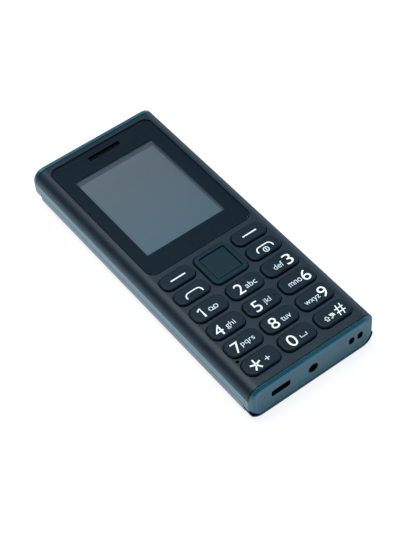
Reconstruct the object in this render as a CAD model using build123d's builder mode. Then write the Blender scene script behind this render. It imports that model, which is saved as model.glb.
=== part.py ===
from build123d import *
import os

# Bar-shaped keypad mobile phone, lying on its back. Millimetres, +Z out of the front face,
# +Y towards the earpiece end, origin at the middle of the underside.

# Outer body
body_width = 50.0
body_length = 120.0
body_thick = 14.5          # underside to the flat front face, keys not counted
edge_round = 4.2           # long front edges
back_round = 4.3           # long back edges
side_lean = 0.1            # how far each side comes in towards the back
end_bevel = 1.1            # bevel round the end face with the sockets
top_bevel = 0.4            # bevel round the earpiece end
rim_bevel = 0.5            # bevel of the back cover's rim at the socket end
shell_depth = 4.4          # front face down to the shell's side seam
lip_bottom = 1.1           # frame's lip beyond the shell at the socket end
lip_top = 1.7              # frame's lip beyond the shell at the earpiece end
cover_height = 6.2         # back cover's side walls
cover_end_height = 1.6     # back cover's rim under the end faces
cover_slope = 1.7          # length of the slope between those two heights
cover_end_reach = 2.1      # end blocks of the frame that the cover stops short of
end_corner = 6.3           # lower corners of both ends
lip_corner = 4.8           # cover's own corners at the socket end, where its lips wrap the frame's
lip_height = 4.3
lip_gap = 0.2

# Seams and running gaps
seam = 0.2                 # shell to frame and frame to cover
top_gap = 0.3              # shell to the frame's top lip
fit = 0.3                  # between pieces that are put together
key_gap = 0.22             # keycap to its opening, all round
nav_gap = 0.25
lens_gap = 0.22
touch = 0.05               # between pieces that rest on each other across a slide

# Walls
shell_wall = 1.3
shell_side_wall = 2.7
shell_end_wall = 1.4
frame_wall = 2.1
cover_floor = 1.1
cover_wall = 2.4
tray_round = 3.0           # back cover's inner corners along its sides
plate_thick = 0.8
board_thick = 1.0
rib_height = 1.0           # chassis plate to circuit board
bay_wall = 1.0

# Display
lens_from_side = 4.2       # long side to the lens's edge
lens_from_top = 3.8        # earpiece end to the lens's top edge
lens_from_ring = 2.1       # navigation ring's opening to the lens's lower edge
lens_corner = 3.0
lens_thick = 1.0
film = 0.15                # printed mask, and adhesive under it
window_from_side = 4.75    # lens's side edges to the window
window_from_bottom = 8.65
window_from_top = 9.05
ledge_thick = 1.0
lcd_beyond_side = 1.25     # liquid crystal glass beyond the window
lcd_beyond_bottom = 2.1
lcd_beyond_top = 1.6
lcd_depth = 2.3            # front face down to the liquid crystal
lcd_glass_thick = 1.0
backlight_rim = 0.4        # backlight's tray beyond the glass
backlight_floor = 0.9
flex_width = 12.0
flex_length = 3.6
flex_thick = 0.2
plug_width = 9.0
plug_height = 0.7
gasket_wall = 0.6
ear_slot_length = 13.0
ear_slot_width = 1.5
ear_slot_from_lens = 3.7   # lens's top edge to the slot
ear_slot_rim = 0.7         # way through the shell beyond the slot
earpiece_width = 13.0
earpiece_gap = 0.15        # backlight's tray to the earpiece
earpiece_mouth = 9.0

# Keypad
keypad_from_side = 4.0     # long side to the outer digit keys' openings
column_web = 0.9
key_opening_length = 7.6
key_opening_corner = 3.0
side_keys_from_side = 3.95
side_web = 0.9             # ring's opening to those of the keys beside it
small_opening_length = 6.85
small_opening_corner = 2.85
row_pitch = 8.74
last_row = 7.95            # socket end to the centre of the lowest row
call_row = 8.6             # first digit row to the call and end keys
soft_row = 16.35           # first digit row to the soft keys
nav_row = 12.43
nav_opening_width = 14.3
nav_opening_length = 15.0
nav_opening_corner = 2.75
select_width = 9.7
select_length = 10.2
select_corner = 0.4
select_gap = 0.2           # select key to the ring round it
key_proud = 0.9
nav_proud = 0.85
select_proud = 0.6
select_raise = 0.35        # select key's underside above that of the ring
key_edge_round = 0.7
select_edge_round = 0.2
nav_inner_bevel = 0.15
flange_reach = 0.25        # flange beyond the opening
flange_thick = 0.7
flange_drop = 0.15         # flange below the shell's inside
nav_flange_drop = 0.35
plunger_radius = 1.2
key_travel = 0.35
seat_width = 12.6          # rocker under the ring
seat_hole = 7.0
seat_corner = 2.5
nav_dome_reach = 4.8       # centre of the ring to the domes under it
mat_thick = 0.5
mat_rim = 0.6
mat_rib = 0.8
mat_corner = 1.5
mat_top_drop = 1.4         # shell's inside down to the silicone mat
dome_radius = 2.2
dome_height = 0.25
dome_film = 0.12
tactile_length = 1.1
tactile_width = 0.5
tactile_height = 0.25
tactile_from_centre = 5.1

# Socket end
socket_drop = 1.2          # board's underside to the middle of the slot and the strap holes
usb_from_side = 12.1
usb_mouth_width = 7.4
usb_mouth_height = 2.8
usb_width = 7.9
usb_height = 2.45
usb_length = 5.2
jack_drop = 1.9            # board's underside to the middle of the audio hole
jack_mouth_radius = 1.9
jack_bore_radius = 1.8
jack_bore_length = 12.5
jack_length = 13.2
jack_width = 6.2
jack_body_height = 5.0
strap_from_side = 9.4
strap_pitch = 3.5
strap_hole_width = 2.2
strap_hole_height = 3.1
mic_hole_radius = 0.6
mic_from_side = 5.0
mic_width = 2.8
mic_height = 1.1
mic_pocket = 3.4

# Inside
board_depth = 4.5          # front face down to the circuit board
battery_from_side = 8.1
battery_from_end = 22.0    # socket end to the battery's lower edge
battery_from_top = 44.9    # earpiece end to the battery's upper edge
bay_fit = 0.3
contact_width = 1.6
contact_pitch = 2.4
contact_inset = 1.5        # battery's faces to its contact pads
connector_width = 9.0
connector_depth = 3.0
speaker_length = 13.0
speaker_thick = 3.6
speaker_from_top = 22.0
speaker_rim = 1.5
speaker_slot_length = 10.0
speaker_slot_width = 1.0
speaker_slot_pitch = 2.0
motor_radius = 5.0
motor_thick = 2.7
motor_from_edge = 1.5
motor_from_speaker = 0.8   # motor to the frame round the loudspeaker
antenna_length = 6.0
antenna_thick = 0.3
antenna_pitch = 4.6
torch_radius = 1.6
led_width = 3.0
led_depth = 1.6
led_height = 1.6
torch_window = 3.2         # way out of the chassis plate for the torch's light
card_width = 14.6
card_length = 12.6
card_height = 1.5
card_from_centre = 8.2
upper_can_width = 15.0
upper_can_from_bay = 4.2
upper_can_from_speaker = 2.6
lower_can_length = 8.0
lower_can_from_end = 10.0
lower_can_from_jack = 1.9
lower_can_from_edge = 2.6
shield_wall = 0.3
chip_from_edge = 4.15
chip_height = 0.8
support_rib = 0.8
tongue_width = 0.8         # shell's tongues inside the frame
tongue_from_end = 7.6
tab_width = 1.0            # cover's guide tabs
tab_length = 6.0
tab_reach = 0.9            # guide tabs above the cover's side walls
tab_pitch = 37.5
screw_radius = 0.7
screw_head_radius = 1.25
screw_head_height = 0.8
boss_radius = 1.7

# Heights worked out from the sizes above
seam_z = body_thick - shell_depth
shell_under = body_thick - shell_wall
ledge_under = shell_under - ledge_thick
board_top = body_thick - board_depth
board_z = board_top - board_thick
plate_top = board_z - rib_height
plate_z = plate_top - plate_thick
battery_z = cover_floor + bay_fit
battery_thick = plate_z - bay_fit - battery_z
socket_height = board_z - socket_drop
jack_height = board_z - jack_drop
lcd_top = body_thick - lcd_depth
lcd_back = lcd_top - lcd_glass_thick
mask_z = shell_under + film
lens_z = mask_z + film
flange_top = shell_under - flange_drop
flange_z = flange_top - flange_thick
nav_flange_top = shell_under - nav_flange_drop
nav_flange_z = nav_flange_top - flange_thick
mat_top = shell_under - mat_top_drop
mat_z = mat_top - mat_thick
dome_top = board_top + dome_film + dome_height
plunger_z = dome_top + key_travel + touch
key_top = body_thick + key_proud
nav_top = body_thick + nav_proud
select_top = body_thick + select_proud

# Places along the body
bottom_y = -body_length / 2
top_y = body_length / 2
shell_bottom = bottom_y + lip_bottom
shell_top = top_y - lip_top
row_4_y = bottom_y + last_row
row_1_y = row_4_y + 3 * row_pitch
call_y = row_1_y + call_row
soft_y = row_1_y + soft_row
nav_y = row_1_y + nav_row
mic_y = row_4_y + row_pitch / 2
lens_bottom = nav_y + nav_opening_length / 2 + lens_from_ring
lens_top = top_y - lens_from_top
lens_length = lens_top - lens_bottom
lens_y = (lens_top + lens_bottom) / 2
window_length = lens_length - window_from_bottom - window_from_top
window_y = lens_bottom + window_from_bottom + window_length / 2
lcd_length = window_length + lcd_beyond_bottom + lcd_beyond_top
lcd_y = window_y + (lcd_beyond_top - lcd_beyond_bottom) / 2
ear_y = lens_top - ear_slot_from_lens
earpiece_length = 2 * (ear_y - lcd_y - lcd_length / 2 - backlight_rim - earpiece_gap)
frame_inner_bottom = bottom_y + frame_wall
frame_inner_top = top_y - frame_wall
cavity_bottom = shell_bottom + shell_end_wall
cavity_top = shell_top - shell_end_wall
cavity_half = body_width / 2 - shell_side_wall
frame_half = body_width / 2 - frame_wall
socket_y = frame_inner_bottom + fit
battery_length = body_length - battery_from_end - battery_from_top
battery_y = bottom_y + battery_from_end + battery_length / 2
bay_top = battery_y + battery_length / 2 + bay_fit
connector_y = bay_top + connector_depth / 2
speaker_y = top_y - speaker_from_top
tongue_inner = frame_half - fit / 2 - tongue_width
board_half = tongue_inner - fit
board_bottom = frame_inner_bottom + 1.9
board_end = frame_inner_top - 1.2

# Widths and places across the body
key_opening_width = (body_width - 2 * keypad_from_side - 2 * column_web) / 3
column_pitch = key_opening_width + column_web
small_opening_width = (body_width - 2 * side_keys_from_side - nav_opening_width - 2 * side_web) / 2
side_column = nav_opening_width / 2 + side_web + small_opening_width / 2
lens_width = body_width - 2 * lens_from_side
window_width = lens_width - 2 * window_from_side
lcd_width = window_width + 2 * lcd_beyond_side
battery_width = body_width - 2 * battery_from_side
usb_from_centre = body_width / 2 - usb_from_side
strap_from_centre = body_width / 2 - strap_from_side
mic_from_centre = body_width / 2 - mic_from_side
plate_half = frame_half - fit
motor_x = plate_half - motor_radius - motor_from_edge
speaker_width = 2 * (motor_x - motor_radius - motor_from_speaker - bay_wall - fit)

# Shield cans: the upper between the battery bay and the loudspeaker, the lower beside the audio socket
speaker_frame_low = speaker_y - speaker_length / 2 - fit - bay_wall
upper_can_low = bay_top + upper_can_from_bay
upper_can_high = speaker_frame_low - upper_can_from_speaker
lower_can_left = jack_width / 2 + lower_can_from_jack
lower_can_right = plate_half - lower_can_from_edge
lower_can_y = bottom_y + lower_can_from_end + lower_can_length / 2
shield_cans = {
    "shield_can_upper": (upper_can_width, upper_can_high - upper_can_low,
                         (0, (upper_can_high + upper_can_low) / 2)),
    "shield_can_lower": (lower_can_right - lower_can_left, lower_can_length,
                         ((lower_can_right + lower_can_left) / 2, lower_can_y)),
}

# Digit keys by column and row, counted from the middle column and the first row
digit_keys = {
    "key_1": (-1, 0), "key_2": (0, 0), "key_3": (1, 0),
    "key_4": (-1, 1), "key_5": (0, 1), "key_6": (1, 1),
    "key_7": (-1, 2), "key_8": (0, 2), "key_9": (1, 2),
    "key_star": (-1, 3), "key_0": (0, 3), "key_hash": (1, 3),
}
digit_places = {
    name: (column * column_pitch, row_1_y - row * row_pitch)
    for name, (column, row) in digit_keys.items()
}
side_places = {
    "soft_key_left": (-side_column, soft_y), "soft_key_right": (side_column, soft_y),
    "call_key": (-side_column, call_y), "end_key": (side_column, call_y),
}
digit_opening = (key_opening_width, key_opening_length, key_opening_corner)
small_opening = (small_opening_width, small_opening_length, small_opening_corner)
nav_opening = (nav_opening_width, nav_opening_length, nav_opening_corner)

# Screws that hold the chassis: four into the shell's bosses, two into the frame's ears
boss_reach = body_width / 2 - 5.4
boss_places = [
    (side * boss_reach, y)
    for side in (-1, 1)
    for y in (ear_y, soft_y + small_opening_length / 2 + boss_radius + 2 * fit + flange_reach)
]
ear_screw_y = frame_inner_bottom + 2.9
ear_places = [(-body_width / 2 + 5.0, ear_screw_y), (9.0, ear_screw_y)]


def slab(width, length, corner, low, high, at=(0, 0), mode=Mode.ADD):
    """Rounded plate between two heights, inside the open part."""
    with BuildSketch(Plane.XY.offset(low)) as outline:
        with Locations(at):
            if corner > 0:
                RectangleRounded(width, length, corner)
            else:
                Rectangle(width, length)
    extrude(outline.sketch, amount=high - low, mode=mode)


def disc(radius, low, high, at=(0, 0), mode=Mode.ADD):
    """Round plate between two heights, inside the open part."""
    with BuildSketch(Plane.XY.offset(low)) as outline:
        with Locations(at):
            Circle(radius)
    extrude(outline.sketch, amount=high - low, mode=mode)


def side_view_cut(points, mode):
    """Prism across the whole width, from an outline seen from the side as (y, z)."""
    with BuildSketch(Plane.YZ) as outline:
        with BuildLine():
            Polyline(*points, close=True)
        make_face()
    extrude(outline.sketch, amount=body_width, both=True, mode=mode)


def rectangle_points(y_low, y_high, z_low, z_high):
    return [(y_low, z_low), (y_high, z_low), (y_high, z_high), (y_low, z_high)]


def cover_outline(clearance):
    """Side view of the space that the back cover takes, its end rims lower than its walls."""
    end_y = body_length / 2 - cover_end_reach + clearance
    high = cover_height - seam / 2 + clearance
    low = cover_end_height - seam / 2 + clearance
    return [
        (bottom_y - 1, -1), (top_y + 1, -1), (top_y + 1, low), (end_y, low),
        (end_y - cover_slope, high), (-end_y + cover_slope, high), (-end_y, low),
        (bottom_y - 1, low),
    ]


def save(piece, name):
    piece.part.label = name
    export_step(piece.part, f"parts/{name}.step")


os.makedirs("parts", exist_ok=True)


def body_form(socket_bevel, corner):
    """Outer form of the whole body, with that bevel round its socket end and those back edges."""
    with BuildPart() as form:
        with BuildSketch(Plane.XZ) as section:
            back_half = body_width / 2 - side_lean
            with BuildLine():
                Polyline(
                    (-back_half, 0), (back_half, 0), (body_width / 2, seam_z),
                    (body_width / 2, body_thick), (-body_width / 2, body_thick),
                    (-body_width / 2, seam_z), close=True,
                )
            make_face()
            fillet(section.vertices().group_by(Axis.Y)[-1], edge_round)
            fillet(section.vertices().group_by(Axis.Y)[0], corner)
        extrude(amount=body_length / 2, both=True)
        chamfer(form.faces().filter_by(Axis.Y).sort_by(Axis.Y)[0].edges(), socket_bevel)
        chamfer(form.faces().filter_by(Axis.Y).sort_by(Axis.Y)[-1].edges(), top_bevel)
    return form.part


# Outer form that the shell and the frame are cut from
outer_form = body_form(end_bevel, back_round)

# Front shell: face, rounded long sides, key openings, lens recess and screw bosses
with BuildPart() as front_shell:
    add(outer_form)
    side_view_cut(
        rectangle_points(shell_bottom + seam / 2, shell_top - top_gap / 2, seam_z + seam / 2,
                         body_thick + 1),
        Mode.INTERSECT,
    )
    cavity_length = cavity_top - cavity_bottom
    cavity_y = (cavity_top + cavity_bottom) / 2
    slab(2 * cavity_half, cavity_length, 1.0, seam_z - 1, shell_under, (0, cavity_y), Mode.SUBTRACT)
    # thicker floor that carries the lens
    ledge_bottom = lens_y - lens_length / 2 - shell_wall
    ledge_top = cavity_top + fit
    slab(2 * cavity_half + fit, ledge_top - ledge_bottom, 0, ledge_under, shell_under,
         (0, (ledge_top + ledge_bottom) / 2))
    slab(lens_width + 2 * lens_gap, lens_length + 2 * lens_gap, lens_corner + lens_gap,
         shell_under, body_thick + 1, (0, lens_y), Mode.SUBTRACT)
    slab(window_width + 2 * gasket_wall + fit, window_length + 2 * gasket_wall + fit, 0.8,
         ledge_under - 1, shell_under + 1, (0, window_y), Mode.SUBTRACT)
    slab(lcd_width + 2 * fit, lcd_length + 2 * fit, 0.4, ledge_under - 1, lcd_top + touch,
         (0, lcd_y), Mode.SUBTRACT)
    slab(ear_slot_length + 2 * ear_slot_rim, ear_slot_width + 2 * ear_slot_rim, 1.2,
         ledge_under - 1, shell_under + 1, (0, ear_y), Mode.SUBTRACT)
    # openings for the keys
    for place in digit_places.values():
        slab(*digit_opening, shell_under - 1, body_thick + 1, place, Mode.SUBTRACT)
    for place in side_places.values():
        slab(*small_opening, shell_under - 1, body_thick + 1, place, Mode.SUBTRACT)
    slab(*nav_opening, shell_under - 1, body_thick + 1, (0, nav_y), Mode.SUBTRACT)
    disc(mic_hole_radius, shell_under - 1, body_thick + 1, (-mic_from_centre, mic_y), Mode.SUBTRACT)
    # tongues that reach down inside the frame, and the bosses
    for side in (-1, 1):
        tongue_x = side * (tongue_inner + tongue_width / 2)
        slab(tongue_width, body_length - 2 * tongue_from_end, 0, board_z + fit, seam_z + 1, (tongue_x, 0))
    for place in boss_places:
        disc(boss_radius, plate_top, shell_under - ledge_thick / 2, place)
        disc(screw_radius, plate_top - 1, ledge_under - 0.4, place, Mode.SUBTRACT)
save(front_shell, "front_shell")

# Both ends of the body have rounder lower corners than its sides, beyond this distance
end_zone = body_length / 2 - cover_end_reach - cover_slope


def middle_form(socket_bevel):
    """Outer form between the body's ends."""
    with BuildPart() as form:
        add(body_form(socket_bevel, back_round))
        side_view_cut(rectangle_points(-end_zone, end_zone, -1, body_thick + 1), Mode.INTERSECT)
    return form.part


# Side frame: coloured band round the sides and both whole ends, with the sockets' holes
with BuildPart() as side_frame:
    add(body_form(end_bevel, end_corner))
    add(middle_form(end_bevel))
    side_view_cut(
        rectangle_points(shell_bottom - seam / 2, shell_top + top_gap / 2, seam_z - seam / 2,
                         body_thick + 1),
        Mode.SUBTRACT,
    )
    side_view_cut(cover_outline(seam), Mode.SUBTRACT)
    slab(2 * frame_half, body_length - 2 * frame_wall, 1.2, -1, body_thick + 1, (0, 0), Mode.SUBTRACT)
    # ledges between the shell's tongues and the chassis plate
    ledge_reach = 1.0
    for side in (-1, 1):
        ledge_x = side * (frame_half - ledge_reach / 2 + fit / 2)
        slab(ledge_reach + fit, body_length - 2 * tongue_from_end, 0, plate_top, board_z - 0.1,
             (ledge_x, 0))
    # ears for the two screws at the socket end
    for x, y in ear_places:
        slab(2 * boss_radius, y - frame_inner_bottom + 0.2, 0, plate_top, board_top - 0.1,
             (x, (y + frame_inner_bottom - 0.2) / 2))
        disc(boss_radius, plate_top, board_top - 0.1, (x, y))
        disc(screw_radius, plate_top - 1, board_top + 1, (x, y), Mode.SUBTRACT)
    # socket end: charging slot, round audio hole and the pair of strap holes
    end_plane = Plane.XZ.offset(-bottom_y + 1)
    with BuildSketch(end_plane):
        with Locations((-usb_from_centre, socket_height)):
            RectangleRounded(usb_mouth_width, usb_mouth_height, 0.7)
        with Locations((0, jack_height)):
            Circle(jack_mouth_radius)
        for step in (0, 1):
            with Locations((strap_from_centre + step * strap_pitch, socket_height)):
                SlotOverall(strap_hole_height, strap_hole_width, rotation=90)
    extrude(amount=-(frame_wall + 2), mode=Mode.SUBTRACT)
    # earpiece end: round hole for the torch
    with BuildSketch(Plane.XZ.offset(-top_y - 1)):
        with Locations((0, socket_height)):
            Circle(torch_radius + touch)
    extrude(amount=frame_wall + 2, mode=Mode.SUBTRACT)
save(side_frame, "side_frame")

# Back cover's socket end, and the lips there that wrap the frame's rounder corners
with BuildPart() as cover_end:
    add(body_form(rim_bevel, lip_corner))
    side_view_cut(rectangle_points(-end_zone, top_y + 1, -1, body_thick + 1), Mode.SUBTRACT)
with BuildPart() as corner_lips:
    add(cover_end.part)
    side_view_cut(rectangle_points(-end_zone - seam, top_y + 1, -1, body_thick + 1), Mode.SUBTRACT)
    side_view_cut(rectangle_points(bottom_y - 1, top_y + 1, lip_height, body_thick + 1), Mode.SUBTRACT)
    with BuildSketch(Plane.XZ) as frame_space:
        with Locations((0, body_thick - lip_gap)):
            RectangleRounded(body_width - 2 * side_lean + 2 * lip_gap, 2 * body_thick, end_corner + lip_gap)
    extrude(frame_space.sketch, amount=body_length, both=True, mode=Mode.SUBTRACT)

# Back cover: shallow tray with guide tabs and the loudspeaker's slots
with BuildPart() as back_cover:
    add(body_form(rim_bevel, end_corner))
    add(middle_form(rim_bevel))
    add(cover_end.part)
    side_view_cut(cover_outline(0), Mode.INTERSECT)
    add(corner_lips.part)
    with BuildSketch(Plane.XZ) as tray:
        with Locations((0, cover_floor + body_thick / 2)):
            Rectangle(body_width - 2 * side_lean - 2 * cover_wall, body_thick)
        fillet(tray.vertices().group_by(Axis.Y)[0], tray_round)
    extrude(tray.sketch, amount=frame_inner_top, both=True, mode=Mode.SUBTRACT)
    tab_x = frame_half - fit - tab_width / 2
    for side in (-1, 1):
        for step in (-1, 0, 1):
            slab(tab_width, tab_length, 0, cover_floor - 0.1, cover_height + tab_reach,
                 (side * tab_x, step * tab_pitch))
    for step in range(-2, 3):
        slab(speaker_slot_length, speaker_slot_width, speaker_slot_width / 2.2, -1, cover_floor + 1,
             (0, speaker_y + step * speaker_slot_pitch), Mode.SUBTRACT)
save(back_cover, "back_cover")

# Rear chassis: plate behind the board, walls of the battery bay, frame round the loudspeaker
with BuildPart() as rear_chassis:
    plate_bottom = socket_y + 0.2
    plate_end = frame_inner_top - fit
    slab(2 * plate_half, plate_end - plate_bottom, 1.2, plate_z, plate_top,
         (0, (plate_end + plate_bottom) / 2))
    bay_width = battery_width + 2 * bay_fit
    bay_length = battery_length + 2 * bay_fit
    bay_low = cover_floor + 2 * fit
    slab(bay_width + 2 * bay_wall, bay_length + 2 * bay_wall, 1.6, bay_low, plate_z, (0, battery_y))
    slab(bay_width, bay_length, 0.6, bay_low - 1, plate_z, (0, battery_y), Mode.SUBTRACT)
    slab(speaker_width + 2 * fit + 2 * bay_wall, speaker_length + 2 * fit + 2 * bay_wall, 2.0,
         bay_low, plate_z, (0, speaker_y))
    slab(speaker_width + 2 * fit, speaker_length + 2 * fit, 1.4, bay_low - 1, plate_z,
         (0, speaker_y), Mode.SUBTRACT)
    # support ribs under the board's long edges
    for side in (-1, 1):
        slab(support_rib, bay_length, 0, plate_top, board_z,
             (side * (board_half - support_rib), battery_y))
    for place in boss_places:
        disc(boss_radius + fit, plate_top, board_z, place, Mode.SUBTRACT)
    # windows for what hangs below the board, and for the sockets
    slab(connector_width + 2 * fit, connector_depth + 2 * fit, 0, bay_low - 1, board_z,
         (0, connector_y), Mode.SUBTRACT)
    card_places = {"sim_socket_1": (-card_from_centre, battery_y - 6),
                   "sim_socket_2": (card_from_centre, battery_y - 6),
                   "card_socket": (0, battery_y + 10)}
    for place in card_places.values():
        slab(card_width + 2 * fit, card_length + 2 * fit, 0.4, plate_z - 1, board_z, place, Mode.SUBTRACT)
    for width, length, place in shield_cans.values():
        slab(width + 2 * fit, length + 2 * fit, 0.6, plate_z - 1, board_z, place, Mode.SUBTRACT)
    slab(jack_width + 2 * fit, 2 * jack_length + 2 * fit, 0, plate_z - 1, board_z,
         (0, socket_y), Mode.SUBTRACT)
    slab(usb_width + 2 * fit, 2 * usb_length + 2 * fit, 0, plate_z - 1, board_z,
         (-usb_from_centre, socket_y), Mode.SUBTRACT)
    strap_x = strap_from_centre + strap_pitch / 2
    slab(strap_pitch + 2 * strap_hole_width, 5.0, 0, plate_z - 1, board_z, (strap_x, socket_y), Mode.SUBTRACT)
    slab(2 * led_width, 2 * torch_window, 0, plate_z - 1, board_z, (0, plate_end), Mode.SUBTRACT)
    for place in boss_places + ear_places:
        disc(screw_radius + 0.1, plate_z - 1, plate_top + 1, place, Mode.SUBTRACT)
save(rear_chassis, "rear_chassis")

# Screws, one group of separate solids
with BuildPart() as chassis_screws:
    for places, tip in ((boss_places, ledge_under - 0.6), (ear_places, board_top - 0.3)):
        for place in places:
            disc(screw_head_radius, plate_z - screw_head_height, plate_z, place)
            disc(screw_radius - 0.03, plate_z, tip, place)
            slab(1.3, 0.25, 0, plate_z - screw_head_height - 0.1, plate_z - screw_head_height / 2,
                 place, Mode.SUBTRACT)
            slab(0.25, 1.3, 0, plate_z - screw_head_height - 0.1, plate_z - screw_head_height / 2,
                 place, Mode.SUBTRACT)
save(chassis_screws, "chassis_screws")

# Display stack, from the front: clear lens, printed mask, adhesive, foam, glass, backlight
with BuildPart() as display_lens:
    slab(lens_width, lens_length, lens_corner, lens_z, body_thick, (0, lens_y))
    chamfer(display_lens.faces().sort_by(Axis.Z)[-1].edges(), 0.15)
    with BuildSketch(Plane.XY.offset(lens_z - 1)):
        with Locations((0, ear_y)):
            SlotOverall(ear_slot_length, ear_slot_width)
    extrude(amount=lens_thick + 2, mode=Mode.SUBTRACT)
save(display_lens, "display_lens")

with BuildPart() as lens_mask:
    slab(lens_width - 0.1, lens_length - 0.1, lens_corner, mask_z, lens_z, (0, lens_y))
    slab(window_width, window_length, 0.5, mask_z - 1, lens_z + 1, (0, window_y), Mode.SUBTRACT)
    with BuildSketch(Plane.XY.offset(mask_z - 1)):
        with Locations((0, ear_y)):
            SlotOverall(ear_slot_length, ear_slot_width)
    extrude(amount=3, mode=Mode.SUBTRACT)
save(lens_mask, "lens_mask")

with BuildPart() as lens_adhesive:
    slab(lens_width - 1, lens_length - 1, lens_corner - 0.5, shell_under, mask_z, (0, lens_y))
    slab(window_width + 2 * gasket_wall + 2 * fit, window_length + 2 * gasket_wall + 2 * fit, 1.0,
         shell_under - 1, mask_z + 1, (0, window_y), Mode.SUBTRACT)
    slab(ear_slot_length + 2, ear_slot_width + 2, 1.2, shell_under - 1, mask_z + 1, (0, ear_y),
         Mode.SUBTRACT)
save(lens_adhesive, "lens_adhesive")

with BuildPart() as display_gasket:
    slab(window_width + 2 * gasket_wall, window_length + 2 * gasket_wall, 0.7, lcd_top, mask_z,
         (0, window_y))
    slab(window_width, window_length, 0.4, lcd_top - 1, mask_z + 1, (0, window_y), Mode.SUBTRACT)
save(display_gasket, "display_gasket")

with BuildPart() as lcd_glass:
    slab(lcd_width, lcd_length, 0.3, lcd_back, lcd_top, (0, lcd_y))
save(lcd_glass, "lcd_glass")

with BuildPart() as lcd_backlight:
    slab(lcd_width + 2 * backlight_rim, lcd_length + 2 * backlight_rim, 0.5, board_top, lcd_back,
         (0, lcd_y))
    slab(lcd_width - 1, lcd_length - 1, 0.3, board_top + backlight_floor, lcd_back + 1, (0, lcd_y),
         Mode.SUBTRACT)
    slab(lcd_width - 1.2, lcd_length - 1.2, 0.2, board_top + backlight_floor - 0.1, lcd_back - touch,
         (0, lcd_y))
save(lcd_backlight, "lcd_backlight")

with BuildPart() as lcd_flex:
    flex_end = lcd_y - lcd_length / 2 - backlight_rim
    flex_top = board_top + flex_thick
    slab(flex_width, flex_length, 0.5, board_top, flex_top, (0, flex_end - flex_length / 2))
    slab(plug_width, 1.0, 0, flex_top, flex_top + plug_height, (0, flex_end - flex_length + 0.6))
save(lcd_flex, "lcd_flex")

# Earpiece under its slot
with BuildPart() as earpiece_mesh:
    slab(ear_slot_length + 0.9, ear_slot_width + 0.9, 1.0, ledge_under + 0.3, shell_under - 0.3, (0, ear_y))
save(earpiece_mesh, "earpiece_mesh")

with BuildPart() as earpiece:
    slab(earpiece_width, earpiece_length, 2.0, board_top, ledge_under - touch, (0, ear_y))
    slab(earpiece_mouth, 2.4, 1.0, ledge_under - 0.3, ledge_under + 1, (0, ear_y), Mode.SUBTRACT)
save(earpiece, "earpiece")


def keycap(opening, gap, place, low, top, tactile=False):
    """Keycap through its opening, with the flange that holds it in and the plunger below."""
    width, length, corner = opening
    with BuildPart() as key:
        slab(width - 2 * gap, length - 2 * gap, corner - gap, low, top, place)
        fillet(key.faces().sort_by(Axis.Z)[-1].edges(), key_edge_round)
        slab(width + 2 * flange_reach, length + 2 * flange_reach, corner + flange_reach,
             low, low + flange_thick, place)
        disc(plunger_radius, plunger_z, low, place)
        if tactile:
            for side in (-1, 1):
                bar = (place[0] + side * tactile_from_centre, place[1])
                slab(tactile_width, tactile_length, tactile_width / 2.1, top - 0.2,
                     top + tactile_height, bar)
    return key


for name, place in digit_places.items():
    save(keycap(digit_opening, key_gap, place, flange_z, key_top, name == "key_5"), name)
for name, place in side_places.items():
    save(keycap(small_opening, key_gap, place, flange_z, key_top), name)

# Navigation: a tilting ring, the rocker that carries it, and the select key inside
with BuildPart() as nav_ring:
    slab(nav_opening_width - 2 * nav_gap, nav_opening_length - 2 * nav_gap,
         nav_opening_corner - nav_gap, nav_flange_z, nav_top, (0, nav_y))
    fillet(nav_ring.faces().sort_by(Axis.Z)[-1].edges(), key_edge_round)
    slab(nav_opening_width + 2 * flange_reach, nav_opening_length + 2 * flange_reach,
         nav_opening_corner + flange_reach, nav_flange_z, nav_flange_top, (0, nav_y))
    slab(select_width + 2 * select_gap, select_length + 2 * select_gap, select_corner + select_gap,
         nav_flange_z - 1, nav_top + 1, (0, nav_y), Mode.SUBTRACT)
    inner_rim = nav_ring.faces().sort_by(Axis.Z)[-1].edges().filter_by(
        lambda edge: abs(edge.center().X) < select_width / 2 + 2 * fit
        and abs(edge.center().Y - nav_y) < select_length / 2 + 2 * fit)
    chamfer(inner_rim, nav_inner_bevel)
save(nav_ring, "nav_ring")

with BuildPart() as nav_seat:
    seat_top = nav_flange_z - fit
    seat_z = dome_top + key_travel
    slab(seat_width, seat_width, seat_corner, seat_z, seat_top, (0, nav_y))
    slab(seat_hole, seat_hole, 2.0, seat_z - 1, seat_top + 1, (0, nav_y), Mode.SUBTRACT)
save(nav_seat, "nav_seat")

with BuildPart() as nav_select:
    select_z = nav_flange_z + select_raise
    slab(select_width, select_length, select_corner, select_z, select_top, (0, nav_y))
    fillet(nav_select.faces().sort_by(Axis.Z)[-1].edges(), select_edge_round)
    disc(plunger_radius, plunger_z, select_z, (0, nav_y))
save(nav_select, "nav_select")

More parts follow.
